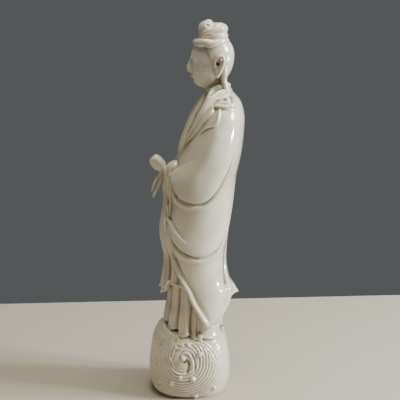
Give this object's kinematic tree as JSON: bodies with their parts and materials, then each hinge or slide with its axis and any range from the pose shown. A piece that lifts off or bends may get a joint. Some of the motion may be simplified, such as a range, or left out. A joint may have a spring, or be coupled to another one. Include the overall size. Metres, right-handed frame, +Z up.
{
  "type": "guanyin figure",
  "caption": "Glazed white porcelain standing robed figure with a topknot and joined hands, fired in one piece with its base of curling waves.",
  "frame": {"origin": "middle of the base's flat underside, on the surface it stands on", "axes": "+Z up, the figure facing -Y, its left side towards +X"},
  "size_m": [0.1036, 0.1033, 0.3999],
  "materials": {
    "white_glaze": "gloss"
  },
  "bodies": {
    "root": {"guanyin_figure": "white_glaze"}
  },
  "joints": []
}
